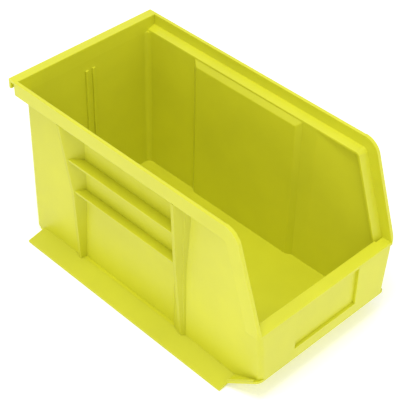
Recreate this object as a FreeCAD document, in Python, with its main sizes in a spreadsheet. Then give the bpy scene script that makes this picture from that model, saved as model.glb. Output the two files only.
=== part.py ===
"""Stackable storage bin: one polypropylene moulding, drawn section by section.

Every wall, rim, skirt, rib and bar of the moulding is a solid of its own that
meets its neighbours face to face.  The front of the bin faces -Y, its width
runs along X and the origin is at the middle of the footprint, on the floor.
"""
import FreeCAD, Part
import math
import os

import Sketcher

Vector = FreeCAD.Vector
document = FreeCAD.newDocument("storage_bin")
sheet = document.addObject("Spreadsheet::Sheet", "Sizes")


class Size:
    """A length that knows both its number and the sheet expression that drives it."""

    def __init__(self, value, text):
        self.value = float(value)
        self.text = text

    def __add__(self, other):
        return Size(self.value + size(other).value, f"({self.text} + {size(other).text})")

    def __radd__(self, other):
        return size(other) + self

    def __sub__(self, other):
        return Size(self.value - size(other).value, f"({self.text} - {size(other).text})")

    def __rsub__(self, other):
        return size(other) - self

    def __mul__(self, other):
        return Size(self.value * size(other).value, f"({self.text} * {size(other).text})")

    def __rmul__(self, other):
        return size(other) * self

    def __truediv__(self, other):
        return Size(self.value / size(other).value, f"({self.text} / {size(other).text})")

    def __neg__(self):
        return Size(-self.value, f"(0 - {self.text})")


def size(number):
    """Return a plain number as a Size, and a Size as it is."""
    if isinstance(number, Size):
        return number
    return Size(number, f"({number})")


def root(number):
    """Return the square root of a Size."""
    return Size(math.sqrt(number.value), f"sqrt({number.text})")


def smaller(one, other):
    """Return the smaller of two Sizes."""
    return Size(min(one.value, other.value), f"min({one.text}; {other.text})")


def driving(alias, value):
    """Write one driving size, in millimetres, into the next row of the sheet."""
    driving.row += 1
    cell = f"A{driving.row}"
    sheet.set(cell, str(value))
    sheet.setAlias(cell, alias)
    return Size(value, f"Sizes.{alias}")


driving.row = 0

# Overall sizes: an 18 x 11 x 10 inch bin
length = driving("length", 457.2)
width = driving("width", 279.4)
height = driving("height", 254.0)

# Walls
wall = driving("wall_gauge", 3.5)
floor_gauge = driving("floor_gauge", 4.0)
corner_radius = driving("corner_radius", 12.0)

# Stacking skirt along the foot of each side
skirt_reach = driving("skirt_reach", 29.7)
skirt_root = driving("skirt_root", 9.5)
skirt_gauge = driving("skirt_gauge", 4.0)
skirt_nose = driving("skirt_nose", 3.0)
skirt_rear_gap = driving("skirt_rear_gap", 32.6)
skirt_front_gap = driving("skirt_front_gap", 46.6)

# Top rim: an upright lip outside a shelf that takes the bin stacked above
rim_reach = driving("rim_reach", 14.3)
rim_depth = driving("rim_depth", 22.0)
lip_gauge = driving("lip_gauge", 5.0)
shelf_drop = driving("shelf_drop", 16.0)
shelf_fall = driving("shelf_fall", 3.0)
bend_clearance = driving("bend_clearance", 4.0)

# Rear edge that hooks on a rail
hang_reach = driving("hang_reach", 10.6)
hang_gauge = driving("hang_gauge", 4.0)
hang_drop = driving("hang_drop", 15.0)

# Open front
front_height = driving("front_height", 118.0)
front_raise = driving("front_raise", 34.0)
hopper_run = driving("hopper_run", 45.0)
ramp_run = driving("ramp_run", 56.5)
toe_overhang = driving("toe_overhang", 7.5)
heel_overhang = driving("heel_overhang", 18.0)
curb_gauge = driving("curb_gauge", 2.0)
curb_height = driving("curb_height", 3.5)
front_lip_depth = driving("front_lip_depth", 18.0)
front_lip_gauge = driving("front_lip_gauge", 4.0)
frame_gauge = driving("frame_gauge", 4.0)
frame_sill = driving("frame_sill", 18.0)
label_half = driving("label_half_width", 56.5)
flare_foot = driving("flare_foot", 2.0)
flare_head = driving("flare_head", 25.0)

# Grip pocket in each side, between two ribs placed from the middle of the bin
pocket_inset = driving("pocket_inset", 5.0)
pocket_ramp = driving("pocket_ramp", 8.0)
rear_rib_place = driving("rear_rib_place", 112.0)
rear_rib_lean = driving("rear_rib_lean", 17.0)
front_rib_place = driving("front_rib_place", 82.0)
front_rib_lean = driving("front_rib_lean", 5.0)
rib_waist_share = driving("rib_waist_share", 0.55)
rib_gauge = driving("rib_gauge", 5.0)
rib_foot_reach = driving("rib_foot_reach", 3.5)
rib_slant_head = driving("rib_slant_head", 26.0)
rib_slant_waist = driving("rib_slant_waist", 9.0)
rib_slant_foot = driving("rib_slant_foot", 1.5)
rib_step_head = driving("rib_step_head", 17.0)
rib_step_waist = driving("rib_step_waist", 9.0)
rib_step_foot = driving("rib_step_foot", 4.0)
rib_back_slant = driving("rib_back_slant", 3.0)
upper_grip_share = driving("upper_grip_share", 0.785)
lower_grip_share = driving("lower_grip_share", 0.57)
grip_edge = driving("grip_edge", 3.5)
grip_keel = driving("grip_keel", 2.5)
grip_set_back = driving("grip_set_back", 1.5)

# Divider guides on the back wall
guide_gap = driving("guide_gap", 7.0)
guide_width = driving("guide_width", 5.0)
guide_depth = driving("guide_depth", 2.5)
guide_share = driving("guide_share", 0.94)
document.recompute()

# Places worked out from the driving sizes
front_y = -(length / 2)
rear_y = length / 2
shell_x = width / 2 - skirt_reach
inner_x = shell_x - wall
rim_x = shell_x + rim_reach
lip_x = rim_x - lip_gauge
back_y = rear_y - hang_reach
back_inner_y = back_y - wall
rim_foot_z = height - rim_depth
bend_radius = rim_depth + bend_clearance
rib_waist_height = rim_foot_z * rib_waist_share
upper_grip_height = rim_foot_z * upper_grip_share
lower_grip_height = rim_foot_z * lower_grip_share
guide_height = rim_foot_z * guide_share
hang_foot_z = height - hang_gauge
frame_y = front_y + frame_gauge
front_wall_y = frame_y + wall
ramp_y = front_y + ramp_run
ramp_slope = front_raise / ramp_run
skirt_front_y = front_y + skirt_front_gap
pocket_x = shell_x - pocket_inset
pocket_rear_y = rear_rib_place + rib_gauge + wall
pocket_front_y = rib_gauge - front_rib_place
recess_rear_y = pocket_rear_y - pocket_ramp
recess_front_y = pocket_front_y + pocket_ramp
recess_head_z = rim_foot_z - pocket_ramp
flare_y = -front_rib_place - rib_step_head
front_lip_foot_z = front_height - front_lip_gauge

# The sloped front edge of each side
slope_fall = height - front_height
slope_length = root(hopper_run * hopper_run + slope_fall * slope_fall)
slope_sine = slope_fall / slope_length
slope_cosine = hopper_run / slope_length
bend_y = front_y + hopper_run
bend_tangent = bend_radius * (slope_length - hopper_run) / slope_fall
bend_centre_y = bend_y + bend_tangent
bend_centre_z = height - bend_radius

SPAN = 1000.0  # longer than any side of the bin, for cuts that go right through
STEP_OUT = 0.4  # how far out the front rib's step stands, as a share of the rib
STEP_START = 0.55  # where the step starts and ends, as shares of the rib's depth
STEP_END = 0.7


def ramp_z(y):
    """Return the height of the ramp's top face at a place along the bin."""
    return floor_gauge + (ramp_y - y) * ramp_slope


def slope_y(z, offset):
    """Return where a line parallel to the sloped edge, set in by offset, has height z."""
    return front_y + (z - front_height) * hopper_run / slope_fall + offset / slope_sine


def flare(y, z):
    """Return how far the front of a side wall stands out from the straight shell."""
    share = (flare_y - y) / (flare_y - front_y)
    return share * (flare_foot + (flare_head - flare_foot) * z / rim_foot_z)


def make_body(label):
    """Add an empty body with a name of its own."""
    body = document.addObject("PartDesign::Body", label)
    body.Label = label
    return body


def carve(blank, label, neighbours):
    """Cut neighbouring sections out of a blank, so that it meets them face to face."""
    whole = blank
    for number, neighbour in enumerate(neighbours):
        cut = document.addObject("Part::Cut", f"{label}_cut_{number}")
        cut.Base = whole
        cut.Tool = neighbour
        whole = cut
    whole.Label = label
    document.recompute()
    return whole


def draw(body, plane, points, offset=0):
    """Draw a closed outline of straight lines on one of the body's origin planes."""
    sketch = body.newObject("Sketcher::SketchObject", body.Name + "_outline")
    support = next(item for item in body.Origin.OriginFeatures if item.Role == plane)
    sketch.AttachmentSupport = [(support, "")]
    sketch.MapMode = "FlatFace"
    sketch.setExpression("AttachmentOffset.Base.z", size(offset).text)
    corners = [(size(across), size(along)) for across, along in points]
    count = len(corners)
    for index in range(count):
        start = corners[index]
        end = corners[(index + 1) % count]
        line = Part.LineSegment(
            Vector(start[0].value, start[1].value, 0), Vector(end[0].value, end[1].value, 0)
        )
        sketch.addGeometry(line, False)
    for index in range(count):
        sketch.addConstraint(Sketcher.Constraint("Coincident", index, 2, (index + 1) % count, 1))
    for index, corner in enumerate(corners):
        for kind, measure in zip(("DistanceX", "DistanceY"), corner):
            rule = Sketcher.Constraint(kind, -1, 1, index, 1, measure.value)
            number = sketch.addConstraint(rule)
            sketch.setExpression(f"Constraints[{number}]", measure.text)
    return sketch


def pad(body, plane, points, start, end):
    """Pad an outline from start to end along the plane's own normal."""
    sketch = draw(body, plane, points, start)
    feature = body.newObject("PartDesign::Pad", body.Name + "_pad")
    feature.Profile = sketch
    feature.setExpression("Length", (size(end) - start).text)
    document.recompute()
    return feature


def trim(body, points, plane="YZ_Plane"):
    """Cut an outline, a side view unless told otherwise, right through the body."""
    sketch = draw(body, plane, points)
    feature = body.newObject("PartDesign::Pocket", body.Name + "_trim")
    feature.Profile = sketch
    feature.Type = "ThroughAll"
    feature.Midplane = True
    before = body.Shape.Volume
    document.recompute()
    if body.Shape.Volume >= before:
        raise RuntimeError(body.Label + ": a trim removed nothing")


def loft(body, sections):
    """Loft straight-sided plan outlines, each given with its height, bottom to top."""
    sketches = [draw(body, "XY_Plane", points, z) for z, points in sections]
    feature = body.newObject("PartDesign::AdditiveLoft", body.Name + "_loft")
    feature.Profile = sketches[0]
    feature.Sections = sketches[1:]
    feature.Ruled = True
    document.recompute()


def mirrored(points, side):
    """Return an outline given for the right side as it is on the chosen side."""
    return [(side * size(across), along) for across, along in points]


def side_pad(body, points, side, near, far):
    """Pad a side-view outline between two distances from the middle plane."""
    if side > 0:
        return pad(body, "YZ_Plane", points, near, far)
    return pad(body, "YZ_Plane", points, -size(far), -size(near))


def cross_pad(body, points, low_y, high_y):
    """Pad a front-view outline between two places along the bin."""
    return pad(body, "XZ_Plane", points, -size(high_y), -size(low_y))


def make_floor():
    """Flat floor under the straight part of the bin, its front corners following the flare."""
    flared_x = shell_x + flare(ramp_y, floor_gauge)
    corner_x = shell_x - corner_radius
    corner_y = back_y - corner_radius
    outline = [
        (flared_x, ramp_y),
        (shell_x, flare_y),
        (shell_x, corner_y),
        (corner_x, back_y),
        (-corner_x, back_y),
        (-shell_x, corner_y),
        (-shell_x, flare_y),
        (-flared_x, ramp_y),
    ]
    body = make_body("floor_panel")
    pad(body, "XY_Plane", outline, 0, floor_gauge)
    return body


def below_ramp(lift=0):
    """Side-view outline of everything under a face parallel to the ramp, lifted off its top."""
    return [
        (ramp_y + SPAN, floor_gauge + lift),
        (ramp_y, floor_gauge + lift),
        (ramp_y - SPAN, ramp_z(ramp_y - SPAN) + lift),
        (ramp_y - SPAN, -SPAN),
        (ramp_y + SPAN, -SPAN),
    ]


def above_ramp(lift=0):
    """Side-view outline of everything over a face parallel to the ramp, lifted off its top."""
    return [
        (ramp_y + SPAN, floor_gauge + lift),
        (ramp_y, floor_gauge + lift),
        (ramp_y - SPAN, ramp_z(ramp_y - SPAN) + lift),
        (ramp_y - SPAN, SPAN),
        (ramp_y + SPAN, SPAN),
    ]


def make_ramp():
    """Raised toe of the floor, widening towards the skirts into a narrow ledge."""
    toe_x = shell_x + toe_overhang
    heel_x = shell_x + heel_overhang
    wall_x = shell_x + flare(skirt_front_y, size(0))
    half = [(toe_x, front_y), (heel_x, skirt_front_y), (wall_x, skirt_front_y), (wall_x, ramp_y)]
    outline = half + [(-x, y) for x, y in reversed(half)]
    body = make_body("floor_ramp")
    pad(body, "XY_Plane", outline, 0, height)
    trim(body, above_ramp())
    trim(body, below_ramp(-floor_gauge))
    return body


def make_toe_curb(name, side):
    """Upstanding edge along the toe's ledge, with a groove between it and the wall."""
    drift = (heel_overhang - toe_overhang) / skirt_front_gap
    tip_y = front_y + curb_gauge / drift
    tip_x = shell_x + toe_overhang + curb_gauge
    heel_x = shell_x + heel_overhang
    outline = [
        (tip_x, tip_y),
        (heel_x, skirt_front_y),
        (heel_x - curb_gauge, skirt_front_y),
        (tip_x - curb_gauge, tip_y),
    ]
    body = make_body(name + "_toe_curb")
    pad(body, "XY_Plane", mirrored(outline, side), 0, height)
    trim(body, above_ramp(curb_height))
    trim(body, below_ramp())


def make_back_wall():
    """Back wall between the two rear corners, and its upper band under the hang lip."""
    half = shell_x - corner_radius
    outline = [
        (-half, floor_gauge),
        (half, floor_gauge),
        (half, rim_foot_z),
        (-half, rim_foot_z),
    ]
    cross_pad(make_body("back_wall"), outline, back_inner_y, back_y)
    band = [
        (-rim_x, rim_foot_z),
        (rim_x, rim_foot_z),
        (rim_x, hang_foot_z),
        (-rim_x, hang_foot_z),
    ]
    cross_pad(make_body("rear_rim"), band, back_inner_y, back_y)


def make_hang_lip():
    """Rear lip that hooks over a rail: a flat top and a downturned edge."""
    outline = [
        (back_inner_y, hang_foot_z),
        (back_inner_y, height),
        (rear_y, height),
        (rear_y, height - hang_drop),
        (rear_y - hang_gauge, height - hang_drop),
        (rear_y - hang_gauge, hang_foot_z),
    ]
    pad(make_body("hang_lip"), "YZ_Plane", outline, -rim_x, rim_x)


def make_rear_corner(name, side):
    """Rounded upright corner between a side wall and the back wall."""
    body = make_body(name + "_rear_corner")
    sketch = body.newObject("Sketcher::SketchObject", body.Name + "_outline")
    support = next(item for item in body.Origin.OriginFeatures if item.Role == "XY_Plane")
    sketch.AttachmentSupport = [(support, "")]
    sketch.MapMode = "FlatFace"
    sketch.setExpression("AttachmentOffset.Base.z", floor_gauge.text)
    centre_x = side * (shell_x - corner_radius)
    centre_y = back_y - corner_radius
    centre = Vector(centre_x.value, centre_y.value, 0)
    start, end = (0.0, math.pi / 2) if side > 0 else (math.pi / 2, math.pi)
    radii = [corner_radius, corner_radius - wall]
    for radius in radii:
        circle = Part.Circle(centre, Vector(0, 0, 1), radius.value)
        sketch.addGeometry(Part.ArcOfCircle(circle, start, end), False)
    for angle in (start, end):
        away = Vector(math.cos(angle), math.sin(angle), 0)
        inner = centre + away * radii[1].value
        outer = centre + away * radii[0].value
        sketch.addGeometry(Part.LineSegment(inner, outer), False)
    for line, tip in ((2, 1), (3, 2)):
        sketch.addConstraint(Sketcher.Constraint("Coincident", line, 1, 1, tip))
        sketch.addConstraint(Sketcher.Constraint("Coincident", line, 2, 0, tip))
    sketch.addConstraint(Sketcher.Constraint("Coincident", 0, 3, 1, 3))
    sketch.addConstraint(Sketcher.Constraint("Horizontal", 2 if side > 0 else 3))
    sketch.addConstraint(Sketcher.Constraint("Vertical", 3 if side > 0 else 2))
    places = (("DistanceX", centre_x), ("DistanceY", centre_y))
    for kind, measure in places:
        rule = Sketcher.Constraint(kind, -1, 1, 0, 3, measure.value)
        number = sketch.addConstraint(rule)
        sketch.setExpression(f"Constraints[{number}]", measure.text)
    for arc, radius in enumerate(radii):
        number = sketch.addConstraint(Sketcher.Constraint("Radius", arc, radius.value))
        sketch.setExpression(f"Constraints[{number}]", radius.text)
    feature = body.newObject("PartDesign::Pad", body.Name + "_pad")
    feature.Profile = sketch
    feature.setExpression("Length", (rim_foot_z - floor_gauge).text)
    document.recompute()


def make_side_wall(name, side):
    """Straight part of a side wall, from the grip pocket back to the rear corner."""
    outline = [
        (pocket_rear_y, floor_gauge),
        (back_y - corner_radius, floor_gauge),
        (back_y - corner_radius, rim_foot_z),
        (pocket_rear_y, rim_foot_z),
    ]
    side_pad(make_body(name + "_side_wall"), outline, side, inner_x, shell_x)


def make_pocket_wall(name, side, neighbours):
    """Shallow tray set into the side, the back of the grip pocket."""
    label = name + "_pocket_wall"
    body = make_body(label + "_blank")
    back_x = pocket_x - wall
    plan = [
        (shell_x, pocket_front_y),
        (inner_x, pocket_front_y),
        (back_x, recess_front_y),
        (back_x, recess_rear_y),
        (inner_x, pocket_rear_y),
        (shell_x, pocket_rear_y),
    ]
    pad(body, "XY_Plane", mirrored(plan, side), floor_gauge, rim_foot_z)
    head = [(back_x, recess_head_z), (inner_x, rim_foot_z), (back_x, rim_foot_z)]
    trim(body, mirrored(head, side), "XZ_Plane")
    recess = [
        (recess_front_y, skirt_root),
        (recess_rear_y, skirt_root),
        (recess_rear_y, recess_head_z),
        (recess_front_y, recess_head_z),
    ]
    sketch = draw(body, "YZ_Plane", recess, side * pocket_x)
    feature = body.newObject("PartDesign::Pocket", body.Name + "_recess")
    feature.Profile = sketch
    feature.Type = "ThroughAll"
    feature.Reversed = side > 0
    before = body.Shape.Volume
    document.recompute()
    if body.Shape.Volume >= before:
        raise RuntimeError(body.Label + ": the recess removed nothing")
    return carve(body, label, neighbours)


def make_front_side_wall(name, side):
    """Flared front part of a side wall, under the sloped edge and over the ramp."""
    body = make_body(name + "_front_side_wall")
    sections = []
    for z in (size(0), rim_foot_z):
        outer = shell_x + flare(front_wall_y, z)
        outline = [
            (inner_x, pocket_front_y),
            (shell_x, pocket_front_y),
            (shell_x, flare_y),
            (outer, front_wall_y),
            (outer - wall, front_wall_y),
            (inner_x, flare_y),
        ]
        sections.append((z, mirrored(outline, side)))
    loft(body, sections)
    trim(body, below_ramp())
    above_slope = [
        (bend_centre_y - SPAN, front_lip_foot_z),
        (slope_y(front_lip_foot_z, rim_depth), front_lip_foot_z),
        (slope_y(rim_foot_z, rim_depth), rim_foot_z),
        (slope_y(rim_foot_z, rim_depth), SPAN),
        (bend_centre_y - SPAN, SPAN),
    ]
    trim(body, above_slope)
    return body


def front_outline(foot_z, head_z, y):
    """Half-widths over the flared side walls at the foot and head of a front piece."""
    foot_x = shell_x + flare(y, foot_z)
    head_x = shell_x + flare(y, head_z)
    return foot_x, head_x


def make_front_wall():
    """Front wall behind the label recess."""
    body = make_body("front_wall")
    foot_x, head_x = front_outline(size(0), front_lip_foot_z, front_wall_y)
    outline = [
        (-foot_x, 0),
        (foot_x, 0),
        (head_x, front_lip_foot_z),
        (-head_x, front_lip_foot_z),
    ]
    cross_pad(body, outline, frame_y, front_wall_y)
    trim(body, below_ramp())


def make_label_frame():
    """Raised border on three sides of the label recess."""
    body = make_body("label_frame")
    foot_x, head_x = front_outline(size(0), front_lip_foot_z, front_wall_y)
    sill_z = front_raise + frame_sill
    outline = [
        (-foot_x, 0),
        (foot_x, 0),
        (head_x, front_lip_foot_z),
        (label_half, front_lip_foot_z),
        (label_half, sill_z),
        (-label_half, sill_z),
        (-label_half, front_lip_foot_z),
        (-head_x, front_lip_foot_z),
    ]
    cross_pad(body, outline, front_y, frame_y)
    trim(body, below_ramp())


def make_front_lip():
    """Flat lip along the top of the front, cut back beside the two sloped shelves."""
    inner_y = front_y + front_lip_depth
    shelf_y = slope_y(front_lip_foot_z, shelf_drop)
    outline = [
        (-lip_x, front_y),
        (lip_x, front_y),
        (lip_x, shelf_y),
        (inner_x, shelf_y),
        (inner_x, inner_y),
        (-inner_x, inner_y),
        (-inner_x, shelf_y),
        (-lip_x, shelf_y),
    ]
    pad(make_body("front_lip"), "XY_Plane", outline, front_lip_foot_z, front_height)


def rim_section():
    """Section of the rim as pairs of distance from the middle and depth under the top."""
    return [
        (inner_x, rim_depth),
        (inner_x, shelf_drop + shelf_fall),
        (lip_x, shelf_drop),
        (lip_x, size(0)),
        (rim_x, size(0)),
        (rim_x, rim_depth),
    ]


def make_rim(name, side):
    """Level rim along the top of a side."""
    outline = mirrored([(x, height - depth) for x, depth in rim_section()], side)
    cross_pad(make_body(name + "_rim"), outline, bend_centre_y, back_inner_y)


def make_rim_bend(name, side):
    """Rounded turn of the rim from level to sloped."""
    body = make_body(name + "_rim_bend")
    outline = mirrored([(x, height - depth) for x, depth in rim_section()], side)
    sketch = draw(body, "XZ_Plane", outline, -bend_centre_y)
    axis = sketch.addGeometry(
        Part.LineSegment(
            Vector(0, bend_centre_z.value, 0), Vector(lip_gauge.value, bend_centre_z.value, 0)
        ),
        True,
    )
    sketch.addConstraint(Sketcher.Constraint("Horizontal", axis))
    for kind, tip, measure in (
        ("DistanceX", 1, size(0)),
        ("DistanceY", 1, bend_centre_z),
        ("DistanceX", 2, lip_gauge),
    ):
        rule = Sketcher.Constraint(kind, -1, 1, axis, tip, measure.value)
        number = sketch.addConstraint(rule)
        sketch.setExpression(f"Constraints[{number}]", measure.text)
    feature = body.newObject("PartDesign::Revolution", body.Name + "_turn")
    feature.Profile = sketch
    feature.ReferenceAxis = (sketch, ["Axis0"])
    feature.setExpression("Angle", f"atan({(slope_fall / hopper_run).text})")
    document.recompute()
    if body.Shape.BoundBox.YMax > bend_centre_y.value + 0.01:
        feature.Reversed = True
        document.recompute()


def make_sloped_rim(name, side):
    """Rim down the sloped front edge of a side, cut level at its foot."""
    body = make_body(name + "_sloped_rim")
    sections = []
    for z in (front_lip_foot_z, height):
        outline = [(x, slope_y(z, depth)) for x, depth in rim_section()]
        sections.append((z, mirrored(outline, side)))
    loft(body, sections)
    past_bend = [
        (bend_centre_y, bend_centre_z),
        (bend_centre_y - SPAN * slope_sine, bend_centre_z + SPAN * slope_cosine),
        (bend_centre_y + SPAN * slope_cosine, bend_centre_z + SPAN),
        (bend_centre_y + SPAN * slope_sine, bend_centre_z - SPAN * slope_cosine),
    ]
    trim(body, past_bend)
    past_front = [
        (front_y, -SPAN),
        (front_y, SPAN),
        (front_y - SPAN, SPAN),
        (front_y - SPAN, -SPAN),
    ]
    trim(body, past_front)


def make_skirt(name, side, neighbours):
    """Sloping flange along the foot of a side, which straddles the rim of the bin below."""
    outline = [
        (shell_x, skirt_root - skirt_gauge),
        (shell_x, skirt_root),
        (width / 2, skirt_nose),
        (width / 2, 0),
        (width / 2 - skirt_gauge, 0),
    ]
    label = name + "_stacking_skirt"
    blank = make_body(label + "_blank")
    cross_pad(blank, mirrored(outline, side), skirt_front_y, rear_y - skirt_rear_gap)
    return carve(blank, label, neighbours)


def rib_edge_y(z):
    """Return where the rear rib's front edge stands above the waist, at height z."""
    climb = (z - rib_waist_height) / (rim_foot_z - rib_waist_height)
    return rear_rib_place + rear_rib_lean * climb


def rib_reach_x(z):
    """Return how far out the ribs stand at height z."""
    return shell_x + rib_foot_reach + (rim_reach - rib_foot_reach) * z / rim_foot_z


def make_rear_rib(name, side):
    """Rear rib of the grip pocket, leaning back from its waist up to the rim."""
    stations = (
        (floor_gauge, rear_rib_place, rib_slant_foot),
        (rib_waist_height, rear_rib_place, rib_slant_waist),
        (rim_foot_z, rear_rib_place + rear_rib_lean, rib_slant_head),
    )
    sections = []
    for z, edge_y, slant in stations:
        outline = [
            (pocket_x, edge_y - slant),
            (rib_reach_x(z), edge_y),
            (rib_reach_x(z), edge_y + rib_gauge),
            (shell_x, edge_y + rib_gauge + rib_back_slant),
            (shell_x, recess_rear_y),
            (pocket_x, recess_rear_y),
        ]
        sections.append((z, mirrored(outline, side)))
    body = make_body(name + "_rear_rib")
    loft(body, sections)
    above_recess = [
        (pocket_x - wall, recess_head_z),
        (shell_x, recess_head_z),
        (shell_x, rim_foot_z),
        (pocket_x - wall, rim_foot_z),
    ]
    trim(body, mirrored(above_recess, side), "XZ_Plane")
    return body


def make_front_rib(name, side):
    """Front rib of the grip pocket, with a stepped slope on its front side."""
    stations = (
        (floor_gauge, -front_rib_place - front_rib_lean, rib_step_foot),
        (rib_waist_height, -front_rib_place, rib_step_waist),
        (rim_foot_z, -front_rib_place, rib_step_head),
    )
    sections = []
    for z, edge_y, depth in stations:
        step_x = shell_x + (rib_reach_x(z) - shell_x) * STEP_OUT
        outline = [
            (shell_x, recess_front_y),
            (rib_reach_x(z), edge_y + rib_gauge),
            (rib_reach_x(z), edge_y),
            (step_x, edge_y - depth * STEP_START),
            (step_x, edge_y - depth * STEP_END),
            (shell_x, edge_y - depth),
        ]
        sections.append((z, mirrored(outline, side)))
    body = make_body(name + "_front_rib")
    loft(body, sections)
    return body


def make_grip_bar(name, side, level, edge_z, neighbours):
    """Finger bar between the ribs, thick at the wall and thin at its edge."""
    label = f"{name}_{level}_grip_bar"
    blank = make_body(label + "_blank")
    edge_x = rib_reach_x(edge_z) - grip_set_back
    outline = [
        (pocket_x, edge_z - grip_edge - grip_keel),
        (pocket_x, edge_z),
        (edge_x, edge_z),
        (edge_x, edge_z - grip_edge),
    ]
    end_y = smaller(rib_edge_y(edge_z), pocket_rear_y)
    cross_pad(blank, mirrored(outline, side), pocket_front_y, end_y)
    for near_y, far_y in ((recess_rear_y, SPAN), (-SPAN, recess_front_y)):
        beyond = [(0, near_y), (shell_x, near_y), (shell_x, far_y), (0, far_y)]
        trim(blank, mirrored(beyond, side), "XY_Plane")
    return carve(blank, label, neighbours)


def make_guide(name, side):
    """Upright guide on the back wall, one edge of a divider slot."""
    near = guide_gap / 2
    outline = [
        (near, floor_gauge),
        (near + guide_width, floor_gauge),
        (near + guide_width, guide_height),
        (near, guide_height),
    ]
    body = make_body(name + "_divider_guide")
    cross_pad(body, mirrored(outline, side), back_inner_y - guide_depth, back_inner_y)


SIDES = (("left", -1), ("right", 1))
LEVELS = (("upper", upper_grip_height), ("lower", lower_grip_height))

base = [make_floor(), make_ramp()]
make_back_wall()
make_hang_lip()
make_front_wall()
make_label_frame()
make_front_lip()
carved = []
for side_name, side_sign in SIDES:
    make_rear_corner(side_name, side_sign)
    make_side_wall(side_name, side_sign)
    cheek = make_front_side_wall(side_name, side_sign)
    make_rim(side_name, side_sign)
    make_rim_bend(side_name, side_sign)
    make_sloped_rim(side_name, side_sign)
    make_toe_curb(side_name, side_sign)
    make_guide(side_name, side_sign)
    ribs = [make_rear_rib(side_name, side_sign), make_front_rib(side_name, side_sign)]
    tray = make_pocket_wall(side_name, side_sign, ribs[:1])
    carved.append(tray)
    carved.append(make_skirt(side_name, side_sign, base + [cheek] + ribs))
    for bar_level, bar_height in LEVELS:
        carved.append(make_grip_bar(side_name, side_sign, bar_level, bar_height, [tray] + ribs))

document.recompute()

bodies = [item for item in document.Objects if item.TypeId == "PartDesign::Body"]
parts = [item for item in bodies if not item.Label.endswith("_blank")] + carved
for item in document.Objects:
    if "Invalid" in item.State or "Error" in item.State:
        raise RuntimeError(item.Label + " failed to build: " + ", ".join(item.State))
for item in parts:
    if item.Shape.isNull() or not item.Shape.isValid() or len(item.Shape.Solids) != 1:
        raise RuntimeError(item.Label + " is not one valid solid")

os.makedirs("parts", exist_ok=True)
for item in parts:
    item.Shape.exportStep(os.path.join("parts", item.Label + ".step"))
    box = item.Shape.BoundBox
    print(
        f"{item.Label:28s} {item.Shape.Volume / 1000:9.2f} cm3 "
        f"x {box.XMin:7.1f} {box.XMax:7.1f} y {box.YMin:7.1f} {box.YMax:7.1f} "
        f"z {box.ZMin:6.1f} {box.ZMax:6.1f}"
    )
print(len(parts), "solids")
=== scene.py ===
"""Stackable storage bin in lime-yellow polypropylene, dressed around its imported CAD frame."""

import logging
import math
from dataclasses import dataclass, field
from enum import Enum
from typing import Iterable, Sequence

import bmesh
import bpy
from mathutils import Matrix, Vector
from mathutils.bvhtree import BVHTree


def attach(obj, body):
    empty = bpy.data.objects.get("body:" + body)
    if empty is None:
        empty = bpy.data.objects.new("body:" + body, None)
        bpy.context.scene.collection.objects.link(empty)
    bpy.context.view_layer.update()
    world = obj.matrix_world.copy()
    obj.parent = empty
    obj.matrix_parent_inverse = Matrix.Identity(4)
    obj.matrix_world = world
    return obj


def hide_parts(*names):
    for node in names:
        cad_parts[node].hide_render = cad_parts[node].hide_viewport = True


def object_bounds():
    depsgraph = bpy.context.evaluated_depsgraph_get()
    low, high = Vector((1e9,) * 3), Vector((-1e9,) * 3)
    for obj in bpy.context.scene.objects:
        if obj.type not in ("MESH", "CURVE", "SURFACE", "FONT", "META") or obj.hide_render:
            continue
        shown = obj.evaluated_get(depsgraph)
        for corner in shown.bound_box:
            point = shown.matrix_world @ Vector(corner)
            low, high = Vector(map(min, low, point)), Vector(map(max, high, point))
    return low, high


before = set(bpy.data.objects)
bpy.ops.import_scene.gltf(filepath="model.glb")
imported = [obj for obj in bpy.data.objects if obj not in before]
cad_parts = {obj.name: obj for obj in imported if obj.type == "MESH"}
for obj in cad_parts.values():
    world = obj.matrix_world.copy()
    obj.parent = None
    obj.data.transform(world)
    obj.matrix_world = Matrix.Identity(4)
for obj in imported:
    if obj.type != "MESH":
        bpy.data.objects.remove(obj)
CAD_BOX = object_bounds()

logging.basicConfig(level=logging.INFO, format="%(message)s")
LOG = logging.getLogger("storage_bin")

MM = 0.001
BODY = "root"
TOUCH = 0.06 * MM
MERGE = 0.002 * MM
FLAT_ANGLE = math.radians(0.6)
EDGE_ANGLE = math.radians(24.0)
SMOOTH_ANGLE = math.radians(34.0)
CORNER_SEGMENTS = 8
CORNER_DEPTH = 0.5 * MM
CORNER_REACH = 110.0 * MM


class Side(Enum):
    """The two mirrored sides of the bin, named as someone facing its front sees them."""

    LEFT = "left"
    RIGHT = "right"


class Grain(Enum):
    """Surface grain that the mould leaves: bump distance and feature scale."""

    POLISHED = (0.00004, 900.0)
    SATIN = (0.00010, 700.0)

    @property
    def depth(self) -> float:
        """Height of the grain in metres."""
        return self.value[0]

    @property
    def scale(self) -> float:
        """Number of grain cells in a metre."""
        return self.value[1]


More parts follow.
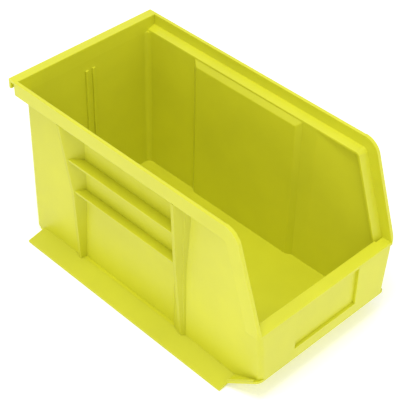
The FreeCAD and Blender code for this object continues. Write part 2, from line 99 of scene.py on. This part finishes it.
@dataclass(frozen=True)
class Polypropylene:
    """Pigmented polypropylene as it leaves the mould.

    Args:
        name: name of the material.
        pigment: linear base colour.
        shade: how much darker the pigment's cloudy patches are.
        roughness: mean gloss roughness.
        grain: mould grain.
        glow: share of light that scatters under the surface.
    """

    name: str
    pigment: tuple[float, float, float]
    shade: float = 0.93
    roughness: float = 0.42
    grain: Grain = Grain.SATIN
    glow: float = 0.15

    def build(self) -> bpy.types.Material:
        """Make the node material.

        Returns:
            The finished material.
        """
        material = bpy.data.materials.new(self.name)
        material.use_nodes = True
        tree = material.node_tree
        nodes, links = tree.nodes, tree.links
        shader = nodes["Principled BSDF"]
        shader.inputs["IOR"].default_value = 1.49
        shader.inputs["Subsurface Weight"].default_value = self.glow
        shader.inputs["Subsurface Scale"].default_value = 0.005
        shader.inputs["Subsurface Radius"].default_value = (1.0, 0.9, 0.25)
        place = nodes.new("ShaderNodeTexCoord")

        cloud = nodes.new("ShaderNodeTexNoise")
        cloud.inputs["Scale"].default_value = 9.0
        cloud.inputs["Detail"].default_value = 5.0
        cloud.inputs["Roughness"].default_value = 0.55
        links.new(place.outputs["Object"], cloud.inputs["Vector"])
        tint = nodes.new("ShaderNodeValToRGB")
        dark = tuple(channel * self.shade for channel in self.pigment)
        tint.color_ramp.elements[0].position = 0.35
        tint.color_ramp.elements[0].color = (*dark, 1.0)
        tint.color_ramp.elements[1].position = 0.65
        tint.color_ramp.elements[1].color = (*self.pigment, 1.0)
        links.new(cloud.outputs["Fac"], tint.inputs["Fac"])
        links.new(tint.outputs["Color"], shader.inputs["Base Color"])

        sheen = nodes.new("ShaderNodeMapRange")
        sheen.inputs["To Min"].default_value = self.roughness - 0.05
        sheen.inputs["To Max"].default_value = self.roughness + 0.07
        links.new(cloud.outputs["Fac"], sheen.inputs["Value"])
        links.new(sheen.outputs["Result"], shader.inputs["Roughness"])

        fine = nodes.new("ShaderNodeTexNoise")
        fine.inputs["Scale"].default_value = self.grain.scale
        fine.inputs["Detail"].default_value = 3.0
        links.new(place.outputs["Object"], fine.inputs["Vector"])
        bump = nodes.new("ShaderNodeBump")
        bump.inputs["Strength"].default_value = 0.42
        bump.inputs["Distance"].default_value = self.grain.depth
        links.new(fine.outputs["Fac"], bump.inputs["Height"])
        links.new(bump.outputs["Normal"], shader.inputs["Normal"])
        return material


LIME = (0.695, 0.695, 0.026)
# painted light: a lighter copy of the same lime, used for the rim and the front, standing in for
# the light these faces catch
LIME_PAINTED_LIGHT = (0.71, 0.71, 0.03)
# painted shade: a darker copy of the same lime, used for the ribs, grip bars and skirt, standing
# in for the shade under the overhanging rim
LIME_PAINTED_SHADE = (0.63, 0.63, 0.022)


@dataclass
class Finishes:
    """Every finish of the bin, built once; the rim and front are painted a lighter lime (painted
    light), the ribs, grip bars and skirt a darker lime (painted shade).
    """

    shell: Polypropylene = Polypropylene("pp_shell", LIME)
    # rim and front use the lighter painted-light copy of the lime
    rim: Polypropylene = Polypropylene("pp_rim", LIME_PAINTED_LIGHT, roughness=0.3, grain=Grain.POLISHED)
    # ribs, grip bars and skirt use the darker painted-shade copy of the lime
    rib: Polypropylene = Polypropylene("pp_rib", LIME_PAINTED_SHADE, roughness=0.46)
    skirt: Polypropylene = Polypropylene("pp_skirt", LIME_PAINTED_SHADE, roughness=0.5)
    front: Polypropylene = Polypropylene("pp_front", LIME_PAINTED_LIGHT, grain=Grain.POLISHED)
    built: dict[str, bpy.types.Material] = field(default_factory=dict)

    def material(self, slot: str) -> bpy.types.Material:
        """Return the material of a record slot, building it the first time.

        Args:
            slot: name of the material slot in the record.

        Returns:
            The material.
        """
        if slot not in self.built:
            self.built[slot] = getattr(self, slot).build()
        return self.built[slot]


@dataclass
class Neighbours:
    """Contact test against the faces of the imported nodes."""

    trees: dict[str, BVHTree] = field(default_factory=dict)

    def __post_init__(self) -> None:
        """Build one search tree for each CAD node."""
        for name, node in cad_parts.items():
            self.trees[name] = BVHTree.FromPolygons(
                [vertex.co.copy() for vertex in node.data.vertices],
                [tuple(polygon.vertices) for polygon in node.data.polygons],
            )

    def touches(self, point: Vector, own: Iterable[str]) -> bool:
        """Tell whether a point lies on a node other than the piece's own.

        Args:
            point: place in the row frame.
            own: nodes that the piece is made of.

        Returns:
            True where another node's face passes through the point.
        """
        for name, tree in self.trees.items():
            if name in own:
                continue
            if tree.find_nearest(point, TOUCH)[0] is not None:
                return True
        return False


def joined_copy(nodes: Sequence[str], name: str) -> bmesh.types.BMesh:
    """Copy one or more CAD nodes as a single clean mesh.

    Args:
        nodes: CAD nodes, each one meeting another face to face.
        name: name for the working object.

    Returns:
        A bmesh with planar faces and no doubled vertices.
    """
    copies = []
    for node in nodes:
        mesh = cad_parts[node].data.copy()
        work = bmesh.new()
        work.from_mesh(mesh)
        bmesh.ops.remove_doubles(work, verts=work.verts, dist=MERGE)
        bmesh.ops.dissolve_limit(
            work, angle_limit=FLAT_ANGLE, verts=work.verts, edges=work.edges
        )
        work.to_mesh(mesh)
        work.free()
        copy = bpy.data.objects.new(f"{name}_{node}", mesh)
        bpy.context.scene.collection.objects.link(copy)
        copies.append(copy)
    whole = copies[0]
    for other in copies[1:]:
        union = whole.modifiers.new("union", "BOOLEAN")
        union.operation = "UNION"
        union.solver = "EXACT"
        union.object = other
    bpy.context.view_layer.update()
    graph = bpy.context.evaluated_depsgraph_get()
    made = bpy.data.meshes.new_from_object(whole.evaluated_get(graph))
    result = bmesh.new()
    result.from_mesh(made)
    for copy in copies:
        bpy.data.meshes.remove(copy.data)
    bpy.data.meshes.remove(made)
    bmesh.ops.remove_doubles(result, verts=result.verts, dist=MERGE)
    bmesh.ops.dissolve_limit(
        result, angle_limit=FLAT_ANGLE, verts=result.verts, edges=result.edges
    )
    return result


def free_edges(
    mesh: bmesh.types.BMesh, own: Sequence[str], around: Neighbours
) -> list[bmesh.types.BMEdge]:
    """Find the sharp outward edges that lie on no neighbour.

    Args:
        mesh: the piece's mesh.
        own: nodes that the piece is made of.
        around: the contact test.

    Returns:
        Edges that the mould would have rounded.
    """
    found = []
    for edge in mesh.edges:
        if len(edge.link_faces) != 2 or not edge.is_convex:
            continue
        if edge.calc_face_angle(0.0) < EDGE_ANGLE:
            continue
        start, end = (vertex.co for vertex in edge.verts)
        samples = [start.lerp(end, share) for share in (0.1, 0.5, 0.9)]
        if any(around.touches(point, own) for point in samples):
            continue
        found.append(edge)
    return found


def is_front_corner(edge: bmesh.types.BMEdge) -> bool:
    """Tell whether an edge is an upright one at a front corner of the bin.

    Args:
        edge: edge to look at.

    Returns:
        True for edges on the foremost plane that rise more than they run.
    """
    start, end = (vertex.co for vertex in edge.verts)
    foremost = max(start.y, end.y) < CAD_BOX[0].y + CORNER_DEPTH
    outermost = min(abs(start.x), abs(end.x)) > CORNER_REACH
    return foremost and outermost and abs(end.z - start.z) > abs(end.x - start.x)


def bevel(
    mesh: bmesh.types.BMesh, edges: Sequence[bmesh.types.BMEdge], radius: float, segments: int
) -> None:
    """Round some edges of a mesh.

    Args:
        mesh: the mesh.
        edges: edges to round; nothing happens without any.
        radius: radius in metres.
        segments: facets of each rounded edge.
    """
    if not edges:
        return
    bmesh.ops.bevel(
        mesh,
        geom=list(edges),
        offset=radius,
        segments=segments,
        profile=0.5,
        affect="EDGES",
        material=-1,
        clamp_overlap=True,
    )


def finish_piece(
    mesh: bmesh.types.BMesh, name: str, material: bpy.types.Material
) -> bpy.types.Object:
    """Turn a bmesh into a smooth-shaded object with a material.

    Args:
        mesh: the finished bmesh, which is freed.
        name: name of the piece.
        material: its finish.

    Returns:
        The linked object.
    """
    for face in mesh.faces:
        face.smooth = True
    for edge in mesh.edges:
        edge.smooth = edge.calc_face_angle(0.0) < SMOOTH_ANGLE
    data = bpy.data.meshes.new(name)
    mesh.to_mesh(data)
    mesh.free()
    data.materials.append(material)
    piece = bpy.data.objects.new(name, data)
    bpy.context.scene.collection.objects.link(piece)
    weighted = piece.modifiers.new("weighted_normals", "WEIGHTED_NORMAL")
    weighted.keep_sharp = True
    weighted.weight = 80
    return piece


@dataclass
class Moulding:
    """One visible section of the bin, softened from its CAD nodes.

    Args:
        name: name of the piece.
        nodes: CAD nodes that it stands for.
        slot: record slot of its finish.
        radius: edge radius in metres.
        segments: facets of each rounded edge.
        corner: radius of the upright corners at the bin's front, 0 for none.
    """

    name: str
    nodes: tuple[str, ...]
    slot: str
    radius: float = 0.9 * MM
    segments: int = 3
    corner: float = 0.0

    def round_edges(self, mesh: bmesh.types.BMesh, around: Neighbours) -> None:
        """Round the upright front corners, then the other free edges.

        Args:
            mesh: the section's mesh.
            around: the contact test.
        """
        edges = free_edges(mesh, self.nodes, around)
        if self.corner:
            upright = [edge for edge in edges if is_front_corner(edge)]
            bevel(mesh, upright, self.corner, CORNER_SEGMENTS)
            edges = free_edges(mesh, self.nodes, around)
        bevel(mesh, edges, self.radius, self.segments)

    def build(self, finishes: Finishes, around: Neighbours) -> bpy.types.Object:
        """Build, dress and mount the section.

        Args:
            finishes: the bin's finishes.
            around: the contact test.

        Returns:
            The finished piece.
        """
        mesh = joined_copy(self.nodes, self.name)
        self.round_edges(mesh, around)
        piece = finish_piece(mesh, self.name, finishes.material(self.slot))
        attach(piece, BODY)
        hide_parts(*self.nodes)
        LOG.info("%s: %d faces", self.name, len(piece.data.polygons))
        return piece


@dataclass(frozen=True)
class SoftLight:
    """One square soft light.

    Args:
        name: name of the light.
        spot: where it hangs, in metres.
        width: side of the square in metres.
        power: output in watts.
    """

    name: str
    spot: tuple[float, float, float]
    width: float
    power: float

    def hang(self, target: Vector) -> None:
        """Add the light to the scene.

        Args:
            target: what it points at.
        """
        data = bpy.data.lights.new(self.name, "AREA")
        data.shape = "SQUARE"
        data.size = self.width
        data.energy = self.power
        light = bpy.data.objects.new(self.name, data)
        light.location = self.spot
        light.rotation_mode = "QUATERNION"
        light.rotation_quaternion = (target - Vector(self.spot)).to_track_quat("-Z", "Y")
        bpy.context.scene.collection.objects.link(light)


@dataclass
class Studio:
    """Camera, lights and backdrop.

    Args:
        azimuth: camera direction round the bin in degrees, 0 in front of it.
        elevation: camera height above the horizon in degrees.
        roll: tilt of the picture in degrees.
        distance: metres from the pivot to the camera.
        lens: focal length in millimetres on a 36 mm sensor.
        shift_right: metres that the camera is moved to its own right.
        shift_up: metres that the camera is moved up its own picture.
        pivot_y: place along Y that the camera turns about, in metres.
        aim_height: height in metres that the lights point at.
        sky: strength of the even white surroundings.
        paper_glow: light that the backdrop paper gives off.
        lights: the soft lights.
    """

    azimuth: float = -44.97
    elevation: float = 40.30
    roll: float = -1.17
    distance: float = 1.753
    lens: float = 113.2
    shift_right: float = 0.0310
    shift_up: float = 0.0705
    pivot_y: float = 0.0399
    aim_height: float = 0.1
    sky: float = 0.75
    paper_glow: float = 0.27
    lights: tuple[SoftLight, ...] = (
        SoftLight("key", (-2.3, 0.2, 0.45), 1.1, 1.0),
        SoftLight("fill", (0.9, -2.2, 0.6), 1.2, 2.0),
        SoftLight("top", (-0.5, -0.2, 2.3), 0.9, 24.0),
    )

    def axes(self) -> tuple[Vector, Vector, Vector]:
        """Return the camera's right, up and backward directions."""
        turn, tilt = math.radians(self.azimuth), math.radians(self.elevation)
        back = Vector(
            (math.sin(turn) * math.cos(tilt), -math.cos(turn) * math.cos(tilt), math.sin(tilt))
        )
        right = Vector((0.0, 0.0, 1.0)).cross(back).normalized()
        up = back.cross(right)
        roll = math.radians(self.roll)
        rolled_right = math.cos(roll) * right - math.sin(roll) * up
        rolled_up = math.sin(roll) * right + math.cos(roll) * up
        return rolled_right, rolled_up, back

    def place_camera(self) -> None:
        """Create the camera and make it the scene's own."""
        right, up, back = self.axes()
        data = bpy.data.cameras.new("camera")
        data.lens = self.lens
        data.sensor_width = 36.0
        data.clip_start = 0.1
        data.clip_end = 60.0
        camera = bpy.data.objects.new("camera", data)
        spot = (
            right * self.shift_right
            + up * self.shift_up
            + back * self.distance
            + Vector((0.0, self.pivot_y, 0.0))
        )
        turn = Matrix((right, up, back)).transposed().to_4x4()
        camera.matrix_world = Matrix.Translation(spot) @ turn
        bpy.context.scene.collection.objects.link(camera)
        bpy.context.scene.camera = camera

    def build(self) -> None:
        """Build the backdrop, the lights and the camera."""
        floor_mesh = bmesh.new()
        bmesh.ops.create_grid(floor_mesh, x_segments=1, y_segments=1, size=12.0)
        data = bpy.data.meshes.new("studio_floor")
        floor_mesh.to_mesh(data)
        floor_mesh.free()
        paper = bpy.data.materials.new("paper")
        paper.use_nodes = True
        shader = paper.node_tree.nodes["Principled BSDF"]
        shader.inputs["Base Color"].default_value = (0.93, 0.93, 0.93, 1.0)
        shader.inputs["Roughness"].default_value = 0.9
        shader.inputs["Specular IOR Level"].default_value = 0.1
        shader.inputs["Emission Color"].default_value = (1.0, 1.0, 1.0, 1.0)
        shader.inputs["Emission Strength"].default_value = self.paper_glow
        data.materials.append(paper)
        floor = bpy.data.objects.new("studio_floor", data)
        floor.location.z = CAD_BOX[0].z - 0.0005
        bpy.context.scene.collection.objects.link(floor)

        world = bpy.data.worlds.new("studio")
        world.use_nodes = True
        background = world.node_tree.nodes["Background"]
        background.inputs["Color"].default_value = (1.0, 1.0, 1.0, 1.0)
        background.inputs["Strength"].default_value = self.sky
        bpy.context.scene.world = world
        aim = Vector((0.0, 0.0, self.aim_height))
        for light in self.lights:
            light.hang(aim)
        self.place_camera()
        settings = bpy.context.scene.view_settings
        settings.view_transform = "Standard"
        settings.look = "None"


@dataclass
class Tub:
    """Floor, walls and divider guides."""

    radius: float = 0.8 * MM
    tray_radius: float = 1.0 * MM
    toe_corner: float = 6.0 * MM

    def mouldings(self) -> list[Moulding]:
        """List the tub's sections."""
        pieces = [
            Moulding("floor", ("floor_panel",), "shell", self.radius),
            Moulding("toe_ramp", ("floor_ramp",), "shell", 1.2 * MM, corner=self.toe_corner),
            Moulding("back", ("back_wall",), "shell", self.radius),
        ]
        for side in Side:
            word = side.value
            for part in ("rear_corner", "side_wall"):
                node = f"{word}_{part}"
                pieces.append(Moulding(f"{node}_skin", (node,), "shell", self.radius))
            tray = f"{word}_pocket_wall"
            pieces.append(Moulding(f"{tray}_skin", (tray,), "shell", self.tray_radius, 6))
            guide = f"{word}_divider_guide"
            pieces.append(Moulding(f"{guide}_rib", (guide,), "shell", 0.7 * MM))
        return pieces


@dataclass
class FrontPanel:
    """Front wall with its label frame and side returns, and the front lip."""

    corner: float = 7.0 * MM

    def mouldings(self) -> list[Moulding]:
        """List the front's sections."""
        shell = ("front_wall", "label_frame", "left_front_side_wall", "right_front_side_wall")
        return [
            Moulding("front_panel", shell, "front", 0.9 * MM, corner=self.corner),
            Moulding("front_ledge", ("front_lip",), "front", 1.1 * MM),
        ]


@dataclass
class TopRim:
    """Rim along the sides, its bends and slopes, and the rear edge with the hang lip."""

    radius: float = 1.1 * MM
    corner: float = 4.6 * MM

    def mouldings(self) -> list[Moulding]:
        """List the rim's sections."""
        pieces = [
            Moulding("rear_band", ("rear_rim",), "rim", self.radius),
            Moulding("rail_hook", ("hang_lip",), "rim", self.radius),
        ]
        for side in Side:
            for part in ("rim", "rim_bend", "sloped_rim"):
                node = f"{side.value}_{part}"
                pieces.append(
                    Moulding(f"{node}_band", (node,), "rim", self.radius, corner=self.corner)
                )
        return pieces


@dataclass
class GripPocket:
    """Ribs and finger bars of one side, and the skirt below them."""

    side: Side

    def mouldings(self) -> list[Moulding]:
        """List the side's sections."""
        word = self.side.value
        pieces = [
            Moulding(f"{word}_skirt", (f"{word}_stacking_skirt",), "skirt", 1.3 * MM),
            Moulding(f"{word}_curb", (f"{word}_toe_curb",), "skirt", 0.9 * MM),
        ]
        for part in ("rear_rib", "front_rib"):
            node = f"{word}_{part}"
            pieces.append(Moulding(f"{node}_post", (node,), "rib", 0.9 * MM))
        for part in ("upper_grip_bar", "lower_grip_bar"):
            node = f"{word}_{part}"
            pieces.append(Moulding(f"{node}_shelf", (node,), "rib", 0.8 * MM))
        return pieces


def main() -> None:
    """Build the bin and its studio."""
    finishes = Finishes()
    around = Neighbours()
    assemblies = [Tub(), FrontPanel(), TopRim(), GripPocket(Side.LEFT), GripPocket(Side.RIGHT)]
    for assembly in assemblies:
        for moulding in assembly.mouldings():
            moulding.build(finishes, around)
    Studio().build()


if __name__ == "__main__":
    main()
